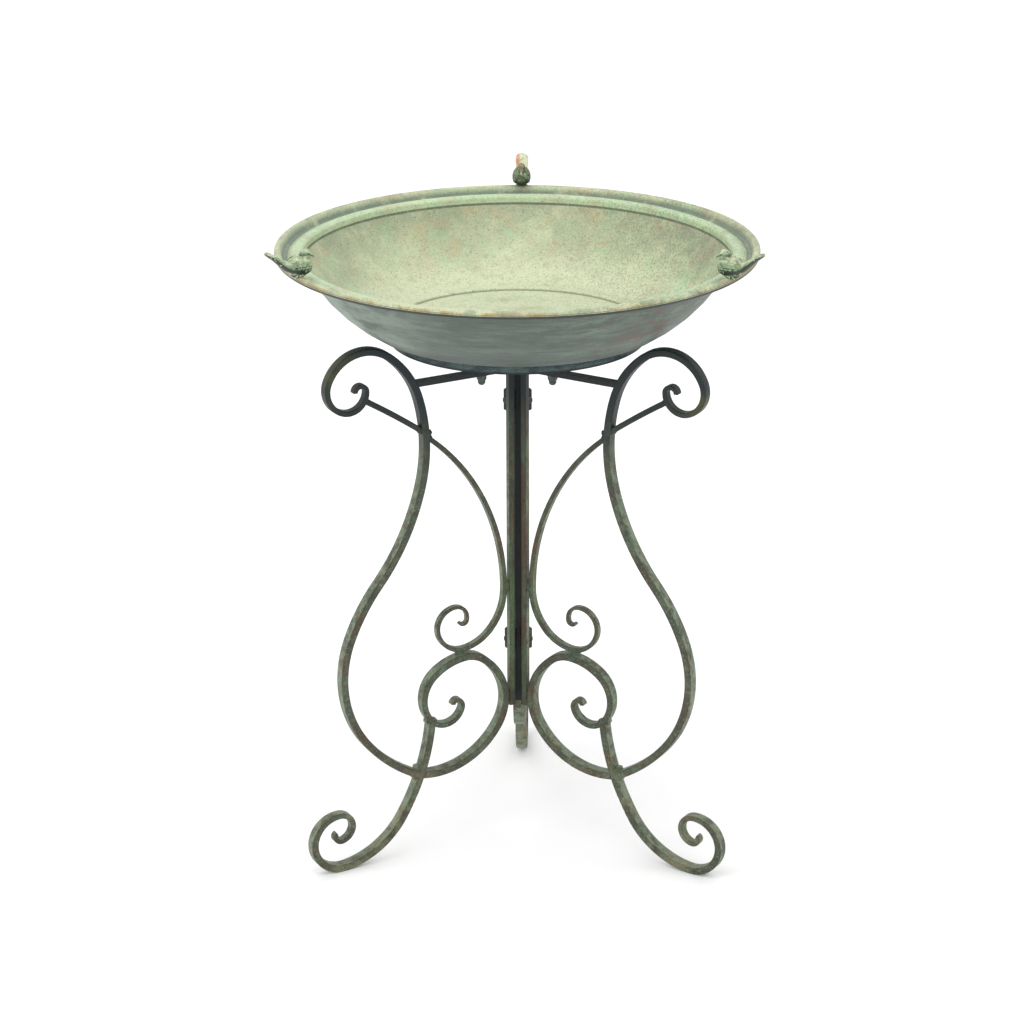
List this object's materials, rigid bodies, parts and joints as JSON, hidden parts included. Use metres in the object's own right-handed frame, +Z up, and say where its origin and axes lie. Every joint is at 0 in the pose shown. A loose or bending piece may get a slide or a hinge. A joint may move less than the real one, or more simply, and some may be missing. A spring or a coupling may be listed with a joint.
{
  "type": "bird bath",
  "caption": "Free-standing metal bird bath: a wide shallow bowl with a rolled rim and small perched birds, on a stand of scrollwork legs joined at the middle.",
  "frame": {"origin": "on the stand's vertical axis, at the ground", "axes": "+Z up; -Y is the front, between the left and right legs; the back leg stands at +Y"},
  "size_m": [0.504, 0.5385, 0.7],
  "materials": {
    "bowl_verdigris": "satin antique verdigris, pale beige-green inside",
    "stand_verdigris": "satin dark bronze with green patina rubbed over it",
    "hoop_verdigris": "satin dark teal patina",
    "bird_verdigris": "satin dark bronze with pale green raised edges",
    "fastener_bronze": "dark bronze paint over zinc-plated steel"
  },
  "bodies": {
    "root": {"bowl": "bowl_verdigris", "foot_hoop": "hoop_verdigris", "bowl_studs": "hoop_verdigris", "stud_washers": "fastener_bronze", "cap_nuts": "fastener_bronze", "leg_left_outer_scroll": "stand_verdigris", "leg_left_inner_scroll": "stand_verdigris", "leg_left_foot_bar": "stand_verdigris", "leg_left_tendril": "stand_verdigris", "leg_left_curl_brace": "stand_verdigris", "leg_left_post_bar": "stand_verdigris", "leg_left_bowl_arm": "stand_verdigris", "leg_left_weld_beads": "stand_verdigris", "leg_left_joining_tabs": "stand_verdigris", "leg_right_outer_scroll": "stand_verdigris", "leg_right_inner_scroll": "stand_verdigris", "leg_right_foot_bar": "stand_verdigris", "leg_right_tendril": "stand_verdigris", "leg_right_curl_brace": "stand_verdigris", "leg_right_post_bar": "stand_verdigris", "leg_right_bowl_arm": "stand_verdigris", "leg_right_weld_beads": "stand_verdigris", "leg_right_joining_tabs": "stand_verdigris", "leg_back_outer_scroll": "stand_verdigris", "leg_back_inner_scroll": "stand_verdigris", "leg_back_foot_bar": "stand_verdigris", "leg_back_tendril": "stand_verdigris", "leg_back_curl_brace": "stand_verdigris", "leg_back_post_bar": "stand_verdigris", "leg_back_bowl_arm": "stand_verdigris", "leg_back_weld_beads": "stand_verdigris", "leg_back_joining_tabs": "stand_verdigris", "tab_bolts": "fastener_bronze", "tab_nuts": "fastener_bronze", "bird_left": "bird_verdigris", "bird_right": "bird_verdigris", "bird_back": "bird_verdigris"}
  },
  "joints": []
}
